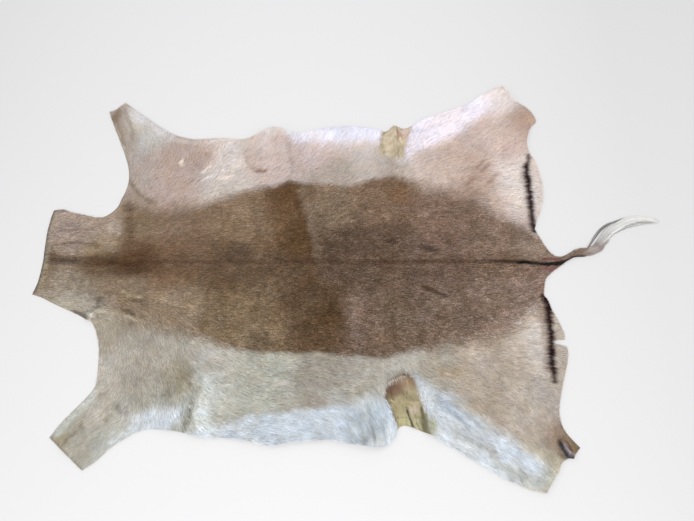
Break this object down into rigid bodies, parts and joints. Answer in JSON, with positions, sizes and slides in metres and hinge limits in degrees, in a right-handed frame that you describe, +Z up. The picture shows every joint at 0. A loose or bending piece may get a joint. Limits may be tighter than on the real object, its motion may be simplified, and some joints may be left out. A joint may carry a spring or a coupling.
{
  "type": "springbok hide",
  "caption": "Whole springbok hide tanned with the hair on, lying flat: neck, legs and a tufted tail, with low folds in the skin.",
  "frame": {"origin": "middle of the hide's box on the surface it lies on", "axes": "+X from the neck to the tail along the spine, +Y across the back, +Z up from the floor through the hair side"},
  "size_m": [1.1276, 0.786, 0.0161],
  "materials": {
    "coat": "short lying hair over suede skin, matt with a faint sheen",
    "tail_hair": "long pale hair with dark strands, soft sheen"
  },
  "bodies": {
    "root": {"hide": "coat", "tail_tuft": "tail_hair"}
  },
  "joints": []
}
